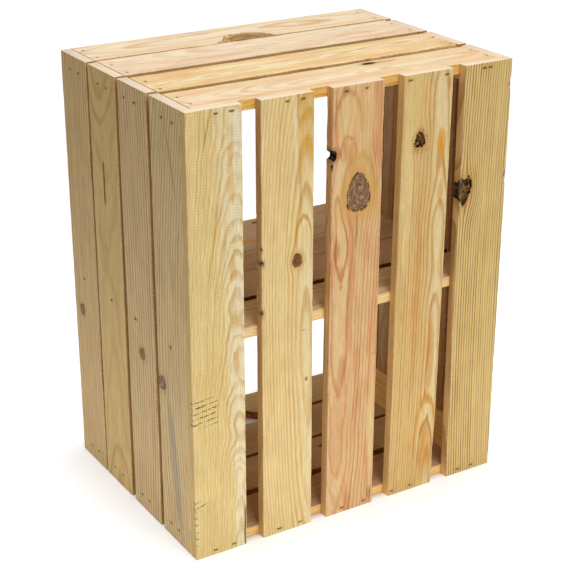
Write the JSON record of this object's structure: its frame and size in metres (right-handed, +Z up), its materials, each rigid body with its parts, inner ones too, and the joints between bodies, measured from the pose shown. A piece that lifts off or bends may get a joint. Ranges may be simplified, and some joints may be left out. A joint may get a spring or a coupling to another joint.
{
  "type": "wooden apple crate",
  "caption": "Nailed softwood fruit crate stood on end as a small rack: slatted front, open back, fixed middle shelf and a half-moon hand hole in each end panel.",
  "frame": {"origin": "middle of the footprint, on the surface that the crate's base end stands on", "axes": "+Z up along the slats, +Y from the slatted front to the open back, +X to the right seen from the front"},
  "size_m": [0.4, 0.29, 0.5],
  "materials": {
    "end_board_pine": "sawn and planed, raw, pale yellow with pinkish grain",
    "side_slat_pine": "sawn, raw, pale yellow to pinkish grey",
    "front_slat_pine": "sawn, raw, knotty, yellow with orange and reddish grain",
    "shelf_pine": "sawn, raw",
    "batten_pine": "sawn, raw",
    "staple_steel": "galvanised wire, dulled"
  },
  "bodies": {
    "root": {"top_board_1": "end_board_pine", "top_board_2": "end_board_pine", "top_board_3": "end_board_pine", "top_board_4": "end_board_pine", "base_board_1": "end_board_pine", "base_board_2": "end_board_pine", "base_board_3": "end_board_pine", "base_board_4": "end_board_pine", "shelf_board_1": "shelf_pine", "shelf_board_2": "shelf_pine", "shelf_board_3": "shelf_pine", "shelf_board_4": "shelf_pine", "left_slat_1": "side_slat_pine", "left_slat_2": "side_slat_pine", "left_slat_3": "side_slat_pine", "left_slat_4": "side_slat_pine", "right_slat_1": "side_slat_pine", "right_slat_2": "side_slat_pine", "right_slat_3": "side_slat_pine", "right_slat_4": "side_slat_pine", "front_slat_1": "front_slat_pine", "front_slat_2": "front_slat_pine", "front_slat_3": "front_slat_pine", "front_slat_4": "front_slat_pine", "front_slat_5": "front_slat_pine", "top_left_batten": "batten_pine", "top_right_batten": "batten_pine", "base_left_batten": "batten_pine", "base_right_batten": "batten_pine", "shelf_left_cleat": "batten_pine", "shelf_right_cleat": "batten_pine", "top_panel_staples": "staple_steel", "base_panel_staples": "staple_steel", "shelf_staples": "staple_steel", "left_side_staples": "staple_steel", "right_side_staples": "staple_steel", "front_slat_staples": "staple_steel"}
  },
  "joints": []
}
